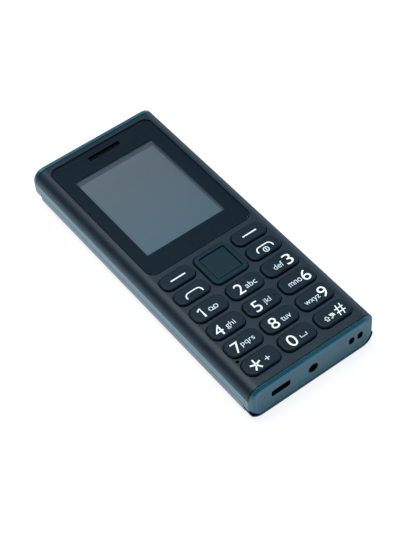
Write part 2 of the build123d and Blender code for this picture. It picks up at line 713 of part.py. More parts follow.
# Silicone mat with a way through for every plunger, on a rim that stands on the dome sheet
mat_half = board_half
mat_bottom = cavity_bottom + fit
mat_end = ledge_bottom - fit
mat_length = mat_end - mat_bottom
mat_y = (mat_end + mat_bottom) / 2
all_key_places = list(digit_places.values()) + list(side_places.values())
with BuildPart() as keypad_mat:
    slab(2 * mat_half, mat_length, mat_corner, board_top + dome_film, mat_top, (0, mat_y))
    slab(2 * (mat_half - mat_rim), mat_length - 2 * mat_rim, mat_corner - mat_rim / 2, board_top, mat_z,
         (0, mat_y), Mode.SUBTRACT)
    # ribs between the rows carry the sheet of the mat
    for row in range(3):
        rib_y = row_1_y - (row + 0.5) * row_pitch
        slab(2 * mat_half - mat_rim, mat_rib, 0, board_top + dome_film, mat_z + 0.1, (0, rib_y))
    for place in all_key_places:
        disc(plunger_radius + fit, board_top, mat_top + 1, place, Mode.SUBTRACT)
    slab(seat_width + 2 * fit, seat_width + 2 * fit, seat_corner + fit, board_top, mat_top + 1,
         (0, nav_y), Mode.SUBTRACT)
    slab(mic_pocket, mic_pocket, 0.4, board_top, mat_top + 1, (-mic_from_centre, mic_y), Mode.SUBTRACT)
save(keypad_mat, "keypad_mat")

# Sheet of snap domes, one under each key and four under the ring
with BuildPart() as dome_sheet:
    slab(2 * mat_half, mat_length, mat_corner, board_top, board_top + dome_film, (0, mat_y))
    nav_domes = [(0, nav_y)] + [
        (x * nav_dome_reach, nav_y + y * nav_dome_reach) for x, y in ((1, 0), (-1, 0), (0, 1), (0, -1))
    ]
    for place in all_key_places + nav_domes:
        with BuildSketch(Plane.XY.offset(board_top + dome_film)):
            with Locations(place):
                Circle(dome_radius)
        extrude(amount=dome_height, taper=40)
    slab(mic_pocket, mic_pocket, 0.4, board_top - 1, board_top + 1, (-mic_from_centre, mic_y),
         Mode.SUBTRACT)
save(dome_sheet, "dome_sheet")

# Circuit board and what is soldered to it
with BuildPart() as main_board:
    slab(2 * board_half, board_end - board_bottom, 1.0, board_z, board_top,
         (0, (board_end + board_bottom) / 2))
    slab(jack_width + 2 * fit, 2 * jack_length + 2 * fit, 0, board_z - 1, board_top + 1,
         (0, socket_y), Mode.SUBTRACT)
    for x, y in ear_places:
        slab(2 * (boss_radius + fit), 2 * (boss_radius + fit + 1), 0.6, board_z - 1, board_top + 1,
             (x, y - 1), Mode.SUBTRACT)
    for place in boss_places:
        disc(boss_radius + fit, board_z - 1, board_top + 1, place, Mode.SUBTRACT)
save(main_board, "main_board")

with BuildPart() as board_chips:
    chip_x = board_half - chip_from_edge
    chips = [(-chip_x, battery_y + 21, 5.0, 6.0), (chip_x, battery_y + 21, 5.0, 6.0),
             (-14.0, bay_top + 8.0, 8.0, 8.0), (15.0, bay_top + 8.0, 6.0, 8.0),
             (-10.0, speaker_y, 8.0, 6.0), (10.0, speaker_y - 1, 7.0, 7.0)]
    for x, y, width, length in chips:
        slab(width, length, 0.2, board_z - chip_height, board_z, (x, y))
save(board_chips, "board_chips")

for name, (width, length, place) in shield_cans.items():
    with BuildPart() as shield_can:
        slab(width, length, 0.4, plate_z + 0.2, board_z, place)
        slab(width - 2 * shield_wall, length - 2 * shield_wall, 0.2, plate_z + 0.2 + shield_wall,
             board_z + 1, place, Mode.SUBTRACT)
    save(shield_can, name)

for name, place in card_places.items():
    with BuildPart() as card_holder:
        slab(card_width, card_length, 0.3, board_z - card_height, board_z, place)
        slab(card_width - 1.2, card_length - 0.6, 0.2, board_z - card_height + 0.3, board_z - 0.3,
             (place[0], place[1] - 0.6), Mode.SUBTRACT)
        slab(card_width - 5, card_length - 5, 1.0, board_z - card_height - 1, board_z - card_height / 2,
             place, Mode.SUBTRACT)
    save(card_holder, name)

# Charging socket and audio socket behind their holes
with BuildPart() as usb_socket:
    usb_plane = Plane.XZ.offset(-socket_y)
    with BuildSketch(usb_plane):
        with Locations((-usb_from_centre, board_z - usb_height / 2)):
            RectangleRounded(usb_width, usb_height, 0.6)
    extrude(amount=-usb_length)
    with BuildSketch(usb_plane):
        with Locations((-usb_from_centre, board_z - usb_height / 2)):
            RectangleRounded(usb_width - 0.6, usb_height - 0.6, 0.4)
    extrude(amount=-(usb_length - 0.6), mode=Mode.SUBTRACT)
    with BuildSketch(usb_plane.offset(-0.8)):
        with Locations((-usb_from_centre, board_z - usb_height / 2 + 0.3)):
            Rectangle(usb_width - 4.2, 0.6)
    extrude(amount=-(usb_length - 0.8))
save(usb_socket, "usb_socket")

with BuildPart() as audio_jack:
    jack_plane = Plane.XZ.offset(-socket_y)
    with BuildSketch(jack_plane):
        with Locations((0, jack_height)):
            RectangleRounded(jack_width, jack_body_height, 0.8)
    extrude(amount=-jack_length)
    with BuildSketch(jack_plane):
        with Locations((0, jack_height)):
            Circle(jack_bore_radius)
    extrude(amount=-jack_bore_length, mode=Mode.SUBTRACT)
save(audio_jack, "audio_jack")

# Microphone and the rubber tube up to its hole
with BuildPart() as microphone:
    slab(mic_width, mic_width, 0.5, board_top, board_top + mic_height, (-mic_from_centre, mic_y))
save(microphone, "microphone")

with BuildPart() as microphone_boot:
    disc(mic_hole_radius, board_top + mic_height, shell_under, (-mic_from_centre, mic_y))
    disc(mic_hole_radius / 2, board_top, shell_under + 1, (-mic_from_centre, mic_y), Mode.SUBTRACT)
save(microphone_boot, "microphone_boot")

# Loudspeaker in the chassis, its foam ring reaching towards the cover
with BuildPart() as loudspeaker:
    speaker_z = plate_z - speaker_thick
    slab(speaker_width, speaker_length, 1.2, speaker_z, plate_z, (0, speaker_y))
    slab(speaker_width - 2 * speaker_rim, speaker_length - 2 * speaker_rim, 4.0, speaker_z - 1,
         speaker_z + 0.5, (0, speaker_y), Mode.SUBTRACT)
    disc(speaker_length / 4, speaker_z + 0.2, speaker_z + 1, (0, speaker_y))
save(loudspeaker, "loudspeaker")

with BuildPart() as speaker_gasket:
    slab(speaker_width - 0.6, speaker_length - 0.6, 1.2, bay_low, speaker_z, (0, speaker_y))
    slab(speaker_width - 2 * speaker_rim, speaker_length - 2 * speaker_rim, 1.0, bay_low - 1,
         speaker_z + 1, (0, speaker_y), Mode.SUBTRACT)
save(speaker_gasket, "speaker_gasket")

# Vibration motor, stuck to the plate beside the loudspeaker
with BuildPart() as vibration_motor:
    disc(motor_radius, plate_z - motor_thick, plate_z, (-motor_x, speaker_y))
    fillet(vibration_motor.faces().sort_by(Axis.Z)[0].edges(), 0.4)
save(vibration_motor, "vibration_motor")

# Battery, with its three contact pads at the upper end, and the spring connector that meets it
with BuildPart() as battery:
    slab(battery_width, battery_length, 1.0, battery_z, battery_z + battery_thick, (0, battery_y))
    battery_rim = battery.faces().filter_by(Axis.Z).edges()
    fillet(battery_rim, 0.5)
    for step in (-1, 0, 1):
        slab(contact_width, 0.4, 0, battery_z + contact_inset, battery_z + battery_thick - contact_inset,
             (step * contact_pitch, battery_y + battery_length / 2), Mode.SUBTRACT)
save(battery, "battery")

with BuildPart() as battery_connector:
    slab(connector_width, connector_depth, 0.3, battery_z + 0.6, board_z, (0, connector_y))
    pin_start = bay_top - bay_fit + touch
    for step in (-1, 0, 1):
        slab(contact_width / 2, connector_y - pin_start, 0, battery_z + contact_inset + fit,
             battery_z + battery_thick - contact_inset - fit,
             (step * contact_pitch, (connector_y + pin_start) / 2))
save(battery_connector, "battery_connector")

# Antenna strip under the plate at the earpiece end
with BuildPart() as antenna:
    antenna_y = plate_end - 1 - antenna_length / 2
    slab(2 * plate_half - 5, antenna_length, 1.0, plate_z - antenna_thick, plate_z, (0, antenna_y))
    for step in range(-3, 4):
        way = 0.8 if step % 2 else -0.8
        slab(0.8, antenna_length - 1.4, 0, plate_z - 1, plate_z + 1,
             (step * antenna_pitch, antenna_y + way), Mode.SUBTRACT)
    for place in boss_places:
        disc(screw_head_radius + fit, plate_z - 1, plate_z + 1, place, Mode.SUBTRACT)
save(antenna, "antenna")

# Torch at the earpiece end: light on the board's edge, round lens in the frame
with BuildPart() as torch_led:
    slab(led_width, led_depth, 0.2, board_z - led_height, board_z, (0, board_end - led_depth / 2 - 0.1))
save(torch_led, "torch_led")

with BuildPart() as torch_lens:
    with BuildSketch(Plane.XZ.offset(-frame_inner_top + fit)):
        with Locations((0, socket_height)):
            Circle(torch_radius)
    extrude(amount=-(frame_wall - 0.1 + fit))
    fillet(torch_lens.faces().sort_by(Axis.Y)[-1].edges(), 0.4)
save(torch_lens, "torch_lens")
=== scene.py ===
import math

import bpy
from mathutils import Matrix, Vector


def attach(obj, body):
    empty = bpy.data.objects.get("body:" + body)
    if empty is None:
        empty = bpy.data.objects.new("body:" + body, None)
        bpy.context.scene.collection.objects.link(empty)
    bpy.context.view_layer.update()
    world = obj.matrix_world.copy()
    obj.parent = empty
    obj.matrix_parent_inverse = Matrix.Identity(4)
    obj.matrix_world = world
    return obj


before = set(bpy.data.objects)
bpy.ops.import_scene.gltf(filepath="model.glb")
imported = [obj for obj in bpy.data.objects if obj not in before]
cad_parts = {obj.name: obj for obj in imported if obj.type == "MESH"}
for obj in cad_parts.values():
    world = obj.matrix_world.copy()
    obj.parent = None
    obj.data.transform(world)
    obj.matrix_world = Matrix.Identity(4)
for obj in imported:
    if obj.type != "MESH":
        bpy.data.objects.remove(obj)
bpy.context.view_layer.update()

MM = 0.001
MATERIALS = {}  # every material by its name


# Helpers
def paint(code):
    """An sRGB hex colour as linear RGBA."""
    parts = [int(code[i : i + 2], 16) / 255 for i in (1, 3, 5)]
    return tuple(p / 12.92 if p <= 0.04045 else ((p + 0.055) / 1.055) ** 2.4 for p in parts) + (1.0,)


def add_node(tree, kind, inputs, **settings):
    """Adds a shader node; each input is a socket to link from or a value for the node's own socket."""
    node = tree.nodes.new(kind)
    for setting, value in settings.items():
        setattr(node, setting, value)
    for socket, value in inputs.items():
        if isinstance(value, bpy.types.NodeSocket):
            tree.links.new(value, node.inputs[socket])
        else:
            node.inputs[socket].default_value = value
    return node


def new_material(name):
    """An empty node material, kept in MATERIALS under its name."""
    material = bpy.data.materials.new(name)
    material.use_nodes = True
    material.node_tree.nodes.clear()
    MATERIALS[name] = material
    return material


def show(material, surface):
    """Ends a material's tree with its surface shader."""
    add_node(material.node_tree, "ShaderNodeOutputMaterial", {"Surface": surface})


# Patterns in the materials
DRIFT = 9 * MM  # slow patches in which moulded tone and gloss change
EDGE = 0.12 * MM  # radius that an edge keeps, which catches a thin line of light
FRAME_EDGE = 0.3 * MM  # the side frame's edges are rounder
LENS_HAZE = 14 * MM  # patches in which clear plastic changes its gloss
CELL_HAZE = 2 * MM  # the same on the display cell
COPPER_PITCH = 3 * MM  # spacing of the board's copper runs
COPPER_RISE = 0.02 * MM  # height of the solder mask over them
COPPER_SHARE = 0.08  # half the spacing of the lines along the runs, in shares of a cell
NOISE_LOW, NOISE_HIGH = 0.7, 1.3  # two noises added together mostly stay between these
MOULDED_GLOSS, METAL_GLOSS, CLEAR_GLOSS = 0.05, 0.08, 0.01  # how far roughness wanders
STREAK_SQUEEZE = 0.12  # metal's streaks run along x, so a step in x counts for only this much

# Body that the frame's marks are measured from
BODY_WIDE, BODY_LONG, BODY_HIGH = 50.0 * MM, 120.0 * MM, 14.5 * MM
BODY_ROUND = 4.3 * MM  # radius of its long back edges

# Frame's marks: a moulded step's painted highlight, and painted shade deep in the body and its holes
INSIDE_DEPTH = 0.6 * MM  # painted shade: walls deeper than this are black, as the shade in the holes
INSIDE_FADE = 0.1 * MM  # distance over which the painted black shade sets in
# Painted highlight of a moulded step round the ends' faces, drawn as a paler line
STEP_DEPTH, STEP_WIDE = 2.5 * MM, 0.22 * MM  # step line's distance in from the outline, and its width
STEP_SKIN = 0.02 * MM  # the step line is drawn on the end's face, no deeper than this
HOLE_SKIN = 0.08 * MM  # painted shade: within the step line, walls deeper than this are black

# Window in the lens's print, the place of its middle in y, and a height just above the lens's underside
WINDOW_WIDE, WINDOW_LONG = 32.1 * MM, 42.3 * MM
WINDOW_MIDDLE = 26.0 * MM
LENS_UNDER = 13.6 * MM
EDGE_ON = 0.5  # a face whose normal rises less than this is one of the lens's edges

# What the clear plastic mirrors is weak and bluish
SHEEN = 0.35
SHEEN_TINT = (0.4, 0.8, 1.0, 1.0)

# Ends in y of the display cell's painted reflection; past the head, and past the right side in x, lies its
# painted shade
CELL_FOOT, CELL_HEAD = 4.85 * MM, 44.75 * MM
CELL_SIDE = 15.1 * MM


# Materials
def moulded(name, dark, light, roughness, grain, depth, edge=EDGE, specular=0.5, subsurface=0.0):
    """Moulded plastic or rubber: a fine grain in tone, gloss and relief, with softly rounded edges."""
    material = new_material(name)
    tree = material.node_tree
    place = add_node(tree, "ShaderNodeTexCoord", {}).outputs["Object"]
    patches = add_node(tree, "ShaderNodeTexNoise", {"Vector": place, "Scale": 1 / DRIFT, "Detail": 2.0})
    speckle = add_node(tree, "ShaderNodeTexNoise", {"Vector": place, "Scale": 1 / grain, "Detail": 1.0})
    both = add_node(tree, "ShaderNodeMath", {0: patches.outputs[0], 1: speckle.outputs[0]}, operation="ADD")
    share = add_node(
        tree,
        "ShaderNodeMapRange",
        {"Value": both.outputs[0], "From Min": NOISE_LOW, "From Max": NOISE_HIGH},
    )
    tone = add_node(
        tree, "ShaderNodeMix", {0: share.outputs[0], 6: paint(dark), 7: paint(light)}, data_type="RGBA"
    )
    gloss = add_node(
        tree,
        "ShaderNodeMapRange",
        {
            "Value": speckle.outputs[0],
            "To Min": roughness - MOULDED_GLOSS,
            "To Max": roughness + MOULDED_GLOSS,
        },
    )
    rounded = add_node(tree, "ShaderNodeBevel", {"Radius": edge}, samples=4)
    relief = add_node(
        tree,
        "ShaderNodeBump",
        {"Height": speckle.outputs[0], "Distance": depth, "Normal": rounded.outputs[0]},
    )
    surface = add_node(
        tree,
        "ShaderNodeBsdfPrincipled",
        {
            "Base Color": tone.outputs[2],
            "Roughness": gloss.outputs[0],
            "Normal": relief.outputs[0],
            "Specular IOR Level": specular,
            "Subsurface Weight": subsurface,
        },
    )
    show(material, surface.outputs[0])


def depth_in_body(tree):
    """Depth of a point under the body's rounded long sides, and behind the nearer of its ends."""
    place = add_node(tree, "ShaderNodeTexCoord", {}).outputs["Object"]
    middle = (0.0, 0.0, BODY_HIGH / 2)
    centred = add_node(tree, "ShaderNodeVectorMath", {0: place, 1: middle}, operation="SUBTRACT")
    folded = add_node(tree, "ShaderNodeVectorMath", {0: centred.outputs[0]}, operation="ABSOLUTE")
    # a rounded box in x and z gives the depth under the sides
    flat = add_node(
        tree, "ShaderNodeVectorMath", {0: folded.outputs[0], 1: (1.0, 0.0, 1.0)}, operation="MULTIPLY"
    )
    core = (BODY_WIDE / 2 - BODY_ROUND, 0.0, BODY_HIGH / 2 - BODY_ROUND)
    beyond = add_node(tree, "ShaderNodeVectorMath", {0: flat.outputs[0], 1: core}, operation="SUBTRACT")
    outer = add_node(
        tree, "ShaderNodeVectorMath", {0: beyond.outputs[0], 1: (0.0, 0.0, 0.0)}, operation="MAXIMUM"
    )
    reach = add_node(tree, "ShaderNodeVectorMath", {0: outer.outputs[0]}, operation="LENGTH")
    depth = add_node(
        tree, "ShaderNodeMath", {0: BODY_ROUND, 1: reach.outputs["Value"]}, operation="SUBTRACT"
    )
    along = add_node(tree, "ShaderNodeSeparateXYZ", {"Vector": folded.outputs[0]}).outputs["Y"]
    end_depth = add_node(tree, "ShaderNodeMath", {0: BODY_LONG / 2, 1: along}, operation="SUBTRACT")
    return depth.outputs[0], end_depth.outputs[0]


def shade_and_mark_frame(material):
    """Frame: painted highlight on its ends' moulded step, as a paler line, and painted black shade inside."""
    tree = material.node_tree
    shader = next(node for node in tree.nodes if node.type == "BSDF_PRINCIPLED")
    plain = shader.inputs["Base Color"].links[0].from_socket
    depth, end_depth = depth_in_body(tree)
    least = add_node(tree, "ShaderNodeMath", {0: depth, 1: end_depth}, operation="MINIMUM")
    behind_wall = add_node(
        tree,
        "ShaderNodeMapRange",
        {"Value": least.outputs[0], "From Min": INSIDE_DEPTH, "From Max": INSIDE_DEPTH + INSIDE_FADE},
    )
    within_step = add_node(
        tree, "ShaderNodeMath", {0: depth, 1: STEP_DEPTH + STEP_WIDE}, operation="GREATER_THAN"
    )
    behind_face = add_node(tree, "ShaderNodeMath", {0: end_depth, 1: HOLE_SKIN}, operation="GREATER_THAN")
    in_hole = add_node(
        tree, "ShaderNodeMath", {0: within_step.outputs[0], 1: behind_face.outputs[0]}, operation="MULTIPLY"
    )
    # painted shade: walls deep in the body and in its holes turn black
    inside = add_node(
        tree, "ShaderNodeMath", {0: behind_wall.outputs[0], 1: in_hole.outputs[0]}, operation="MAXIMUM"
    )
    # painted highlight: the light that the ends' moulded step catches, drawn as a paler line
    off_line = add_node(tree, "ShaderNodeMath", {0: depth, 1: STEP_DEPTH}, operation="SUBTRACT")
    away = add_node(tree, "ShaderNodeMath", {0: off_line.outputs[0]}, operation="ABSOLUTE")
    line = add_node(
        tree,
        "ShaderNodeMapRange",
        {
            "Value": away.outputs[0],
            "From Min": STEP_WIDE / 2,
            "From Max": STEP_WIDE,
            "To Min": 1.0,
            "To Max": 0.0,
        },
    )
    on_end = add_node(tree, "ShaderNodeMath", {0: end_depth, 1: STEP_SKIN}, operation="LESS_THAN")
    share = add_node(tree, "ShaderNodeMath", {0: line.outputs[0], 1: on_end.outputs[0]}, operation="MULTIPLY")
    step_highlight = add_node(
        tree, "ShaderNodeMix", {0: share.outputs[0], 6: plain, 7: paint("#2f6878")}, data_type="RGBA"
    )
    shade_painted = add_node(
        tree,
        "ShaderNodeMix",
        {0: inside.outputs[0], 6: step_highlight.outputs[2], 7: paint("#050708")},
        data_type="RGBA",
    )
    tree.links.new(shade_painted.outputs[2], shader.inputs["Base Color"])


def metal(name, dark, light, roughness, streak):
    """Rolled or plated metal: long faint streaks along x in tone and gloss."""
    material = new_material(name)
    tree = material.node_tree
    place = add_node(tree, "ShaderNodeTexCoord", {}).outputs["Object"]
    drawn = add_node(tree, "ShaderNodeMapping", {"Vector": place, "Scale": (STREAK_SQUEEZE, 1.0, 1.0)})
    lines = add_node(
        tree, "ShaderNodeTexNoise", {"Vector": drawn.outputs[0], "Scale": 1 / streak, "Detail": 3.0}
    )
    tone = add_node(
        tree, "ShaderNodeMix", {0: lines.outputs[0], 6: paint(dark), 7: paint(light)}, data_type="RGBA"
    )
    gloss = add_node(
        tree,
        "ShaderNodeMapRange",
        {"Value": lines.outputs[0], "To Min": roughness - METAL_GLOSS, "To Max": roughness + METAL_GLOSS},
    )
    rounded = add_node(tree, "ShaderNodeBevel", {"Radius": EDGE}, samples=4)
    surface = add_node(
        tree,
        "ShaderNodeBsdfPrincipled",
        {
            "Base Color": tone.outputs[2],
            "Roughness": gloss.outputs[0],
            "Normal": rounded.outputs[0],
            "Metallic": 1.0,
        },
    )
    show(material, surface.outputs[0])


def light_through(tree, seen, open_way):
    """Shader that is seen as the first one, while light passes by the second."""
    ray = add_node(tree, "ShaderNodeLightPath", {})
    straight = add_node(
        tree,
        "ShaderNodeMath",
        {0: ray.outputs["Is Shadow Ray"], 1: ray.outputs["Is Diffuse Ray"]},
        operation="MAXIMUM",
    )
    mixed = add_node(
        tree, "ShaderNodeMixShader", {0: straight.outputs[0], 1: seen.outputs[0], 2: open_way.outputs[0]}
    )
    return mixed.outputs[0]


def thin_print(material):
    """Lets light by a print that shares its face with the lens, so that neither shades the other."""
    tree = material.node_tree
    shader = next(node for node in tree.nodes if node.type == "BSDF_PRINCIPLED")
    end = next(node for node in tree.nodes if node.type == "OUTPUT_MATERIAL")
    open_way = add_node(tree, "ShaderNodeBsdfTransparent", {})
    tree.links.new(light_through(tree, shader, open_way), end.inputs["Surface"])


def printed_lens(tree, place, clear_way, open_way):
    """Display lens: glossy on top, plain open under its window, inked round that and on its edges."""
    height = add_node(tree, "ShaderNodeSeparateXYZ", {"Vector": place}).outputs["Z"]
    under = add_node(tree, "ShaderNodeMath", {0: height, 1: LENS_UNDER}, operation="LESS_THAN")
    middle = (0.0, WINDOW_MIDDLE, 0.0)
    centred = add_node(tree, "ShaderNodeVectorMath", {0: place, 1: middle}, operation="SUBTRACT")
    folded = add_node(tree, "ShaderNodeVectorMath", {0: centred.outputs[0]}, operation="ABSOLUTE")
    out = add_node(tree, "ShaderNodeSeparateXYZ", {"Vector": folded.outputs[0]}).outputs
    past_side = add_node(tree, "ShaderNodeMath", {0: out["X"], 1: WINDOW_WIDE / 2}, operation="GREATER_THAN")
    past_end = add_node(tree, "ShaderNodeMath", {0: out["Y"], 1: WINDOW_LONG / 2}, operation="GREATER_THAN")
    past = add_node(
        tree, "ShaderNodeMath", {0: past_side.outputs[0], 1: past_end.outputs[0]}, operation="MAXIMUM"
    )
    border = add_node(tree, "ShaderNodeMath", {0: under.outputs[0], 1: past.outputs[0]}, operation="MULTIPLY")
    shape = add_node(tree, "ShaderNodeNewGeometry", {})
    tilt = add_node(tree, "ShaderNodeSeparateXYZ", {"Vector": shape.outputs["True Normal"]}).outputs["Z"]
    upright = add_node(tree, "ShaderNodeMath", {0: tilt}, operation="ABSOLUTE")
    edge = add_node(tree, "ShaderNodeMath", {0: upright.outputs[0], 1: EDGE_ON}, operation="LESS_THAN")
    inked = add_node(tree, "ShaderNodeMath", {0: border.outputs[0], 1: edge.outputs[0]}, operation="MAXIMUM")
    ink = add_node(
        tree,
        "ShaderNodeBsdfPrincipled",
        {"Base Color": paint("#0c171f"), "Roughness": 0.5, "Specular IOR Level": 0.05},
    )
    window = add_node(
        tree, "ShaderNodeMixShader", {0: under.outputs[0], 1: clear_way.outputs[0], 2: open_way.outputs[0]}
    )
    return add_node(
        tree, "ShaderNodeMixShader", {0: inked.outputs[0], 1: window.outputs[0], 2: ink.outputs[0]}
    )


def clear(name, tint, roughness, printed=False):
    """Clear moulded plastic that lets the lamp light what lies under it."""
    material = new_material(name)
    tree = material.node_tree
    place = add_node(tree, "ShaderNodeTexCoord", {}).outputs["Object"]
    film = add_node(tree, "ShaderNodeTexNoise", {"Vector": place, "Scale": 1 / LENS_HAZE, "Detail": 2.0})
    gloss = add_node(
        tree,
        "ShaderNodeMapRange",
        {"Value": film.outputs[0], "To Min": roughness, "To Max": roughness + CLEAR_GLOSS},
    )
    glass = add_node(
        tree,
        "ShaderNodeBsdfPrincipled",
        {
            "Base Color": paint(tint),
            "Roughness": gloss.outputs[0],
            "IOR": 1.49,
            "Transmission Weight": 1.0,
            "Specular IOR Level": SHEEN,
            "Specular Tint": SHEEN_TINT,
        },
    )
    open_way = add_node(tree, "ShaderNodeBsdfTransparent", {"Color": paint(tint)})
    if printed:
        glass = printed_lens(tree, place, glass, open_way)
    show(material, light_through(tree, glass, open_way))


def display_cell(name):
    """Liquid crystal cell, off: grey, painted reflection bluer at its foot, painted shade at head and side.
    """
    material = new_material(name)
    tree = material.node_tree
    place = add_node(tree, "ShaderNodeTexCoord", {}).outputs["Object"]
    axes = add_node(tree, "ShaderNodeSeparateXYZ", {"Vector": place}).outputs
    # painted reflection: bluer grey at the foot, plain grey at the head
    reflection_share = add_node(
        tree, "ShaderNodeMapRange", {"Value": axes["Y"], "From Min": CELL_FOOT, "From Max": CELL_HEAD}
    )
    tone = add_node(
        tree, "ShaderNodeMix", {0: reflection_share.outputs[0], 6: paint("#4c5a61"), 7: paint("#595c5f")}, data_type="RGBA"
    )
    # painted shade: darker past the head and the right side, where the window's edge shades the cell
    shaded_head = add_node(tree, "ShaderNodeMath", {0: axes["Y"], 1: CELL_HEAD}, operation="GREATER_THAN")
    past_side = add_node(tree, "ShaderNodeMath", {0: axes["X"], 1: CELL_SIDE}, operation="GREATER_THAN")
    border = add_node(
        tree, "ShaderNodeMath", {0: shaded_head.outputs[0], 1: past_side.outputs[0]}, operation="MAXIMUM"
    )
    face = add_node(
        tree,
        "ShaderNodeMix",
        {0: border.outputs[0], 6: tone.outputs[2], 7: paint("#3a4047")},
        data_type="RGBA",
    )
    film = add_node(tree, "ShaderNodeTexNoise", {"Vector": place, "Scale": 1 / CELL_HAZE, "Detail": 2.0})
    gloss = add_node(tree, "ShaderNodeMapRange", {"Value": film.outputs[0], "To Min": 0.3, "To Max": 0.4})
    surface = add_node(
        tree,
        "ShaderNodeBsdfPrincipled",
        {"Base Color": face.outputs[2], "Roughness": gloss.outputs[0], "Specular IOR Level": 0.2},
    )
    show(material, surface.outputs[0])


def circuit_board(name):
    """Green solder mask with paler copper runs under it."""
    material = new_material(name)
    tree = material.node_tree
    place = add_node(tree, "ShaderNodeTexCoord", {}).outputs["Object"]
    cells = add_node(
        tree, "ShaderNodeTexVoronoi", {"Vector": place, "Scale": 1 / COPPER_PITCH}, distance="MANHATTAN"
    )
    runs = add_node(
        tree, "ShaderNodeMath", {0: cells.outputs["Distance"], 1: COPPER_SHARE}, operation="PINGPONG"
    )
    lift = add_node(tree, "ShaderNodeMapRange", {"Value": runs.outputs[0], "From Max": COPPER_SHARE})
    tone = add_node(
        tree,
        "ShaderNodeMix",
        {0: lift.outputs[0], 6: paint("#0f3a26"), 7: paint("#2c6b48")},
        data_type="RGBA",
    )
    relief = add_node(tree, "ShaderNodeBump", {"Height": lift.outputs[0], "Distance": COPPER_RISE})
    surface = add_node(
        tree,
        "ShaderNodeBsdfPrincipled",
        {"Base Color": tone.outputs[2], "Roughness": 0.35, "Normal": relief.outputs[0]},
    )
    show(material, surface.outputs[0])


# Each moulded one has its dark and light tone, roughness, size of grain and depth of relief

# Charcoal ABS of the front shell, spark-eroded: matte and soft. Its grain is drawn coarser, to show.
moulded("textured ABS", "#131f29", "#1c2933", 0.38, 0.5 * MM, 0.03 * MM, specular=0.2)
# Deep teal polycarbonate of the side frame, satin: mirrors the white table along the sides.
moulded("satin polycarbonate", "#07485b", "#0b5264", 0.3, 0.7 * MM, 0.004 * MM, edge=FRAME_EDGE)
# Charcoal polycarbonate of the back cover, glossier than the frame: its rim mirrors the table.
moulded("glossy polycarbonate", "#2f343b", "#383e46", 0.2, 0.5 * MM, 0.002 * MM)
# Glass-filled nylon of the chassis inside: dull and speckled.
moulded("glass-filled nylon", "#1d2024", "#2b2f34", 0.62, 0.8 * MM, 0.02 * MM)
# Blue-black lacquer on the keys' polycarbonate: smooth satin tops that hold a soft sheen.
moulded("lacquered polycarbonate", "#0b1a24", "#10212b", 0.42, 0.6 * MM, 0.003 * MM, specular=0.12)
# The navigation key's lacquer, with more green in it.
moulded("green lacquered polycarbonate", "#08222a", "#0d2830", 0.42, 0.6 * MM, 0.003 * MM, specular=0.12)
# Acetal of the seat under the navigation key: waxy black.
moulded("moulded acetal", "#101418", "#1a1f24", 0.45, 1.2 * MM, 0.004 * MM)
# Grey silicone of the key mat: soft, dusty and faintly translucent.
moulded("moulded silicone", "#4c5358", "#60676c", 0.6, 0.9 * MM, 0.01 * MM, subsurface=0.1)
# Black rubber of the microphone's boot: dull, with a fine grain.
moulded("moulded rubber", "#0f1012", "#1b1d20", 0.7, 0.6 * MM, 0.012 * MM)
# Foam of the two gaskets: dark grey with coarse open pores.
moulded("open-cell foam", "#373c43", "#4a5057", 0.9, 0.35 * MM, 0.06 * MM)
# Ink of the border printed behind the lens: deep blue-black.
moulded("printed ink", "#0a151d", "#0e1a23", 0.5, 1.5 * MM, 0.001 * MM, specular=0.05)
# Double-sided tape under the lens, seen as a thin milky ring.
moulded("clear tape", "#8f9499", "#a7acb0", 0.5, 1.0 * MM, 0.01 * MM)
# Polycarbonate of the display's light guide: white, bright and even.
moulded("white polycarbonate", "#c4cad0", "#dfe4e8", 0.4, 1.5 * MM, 0.004 * MM)
# Polyimide of the display's flex: amber with a satin sheen.
moulded("polyimide film", "#7a3f12", "#9a5a1e", 0.32, 1.0 * MM, 0.004 * MM)
# Polyester of the dome sheet: milky, slightly yellowed.
moulded("polyester film", "#a5a89a", "#c3c6b8", 0.28, 1.4 * MM, 0.006 * MM)
# Epoxy of the board's chips: fine matte black.
moulded("moulded epoxy", "#141516", "#222426", 0.55, 0.4 * MM, 0.01 * MM)
# High-temperature nylon of the sockets: black with a slight gloss.
moulded("black nylon", "#0e1013", "#191c20", 0.4, 0.6 * MM, 0.006 * MM)
# Lacquered cans of the earpiece, loudspeaker, motor and microphone: dark grey and satin.
moulded("lacquered steel", "#23262a", "#3a3e43", 0.35, 0.7 * MM, 0.006 * MM)
# Film wrapped round the battery's cell, bare of any print: matte.
moulded("wrapped film", "#24282d", "#30353b", 0.48, 1.1 * MM, 0.01 * MM)
# Phosphor over the torch's lamp: an even egg yellow.
moulded("yellow phosphor", "#c9b23a", "#e3d062", 0.4, 0.5 * MM, 0.01 * MM)
# Lacquer of the printed key legends: white, a little uneven as printed ink is.
moulded("white lacquer", "#e8eef2", "#ffffff", 0.5, 0.6 * MM, 0.002 * MM)
# The smaller letters' lacquer, printed thinner, so the key's blue shows through.
moulded("thin lacquer", "#d3e2eb", "#eef6fa", 0.5, 0.6 * MM, 0.002 * MM)
# Zinc-plated steel of the screws: pale grey with a soft gloss.
metal("zinc-plated steel", "#8f949a", "#c3c7cb", 0.3, 0.4 * MM)
# Tin-plated steel of the shield cans and the sockets' shells: bright, with rolling marks.
metal("tin-plated steel", "#a9adb1", "#c9cdd1", 0.34, 0.6 * MM)
# Woven steel of the earpiece mesh, its weave too fine to show: painted dark, as the shade in its slot.
metal("woven steel", "#08090a", "#15171a", 0.6, 0.2 * MM)
# Laser-etched copper of the antenna: warm and satin.
metal("etched copper", "#a4623a", "#c98658", 0.3, 0.5 * MM)
# Cast acrylic of the display lens: clear and glossy, with a trace of haze.
clear("cast acrylic", "#f4f8fb", 0.0, printed=True)
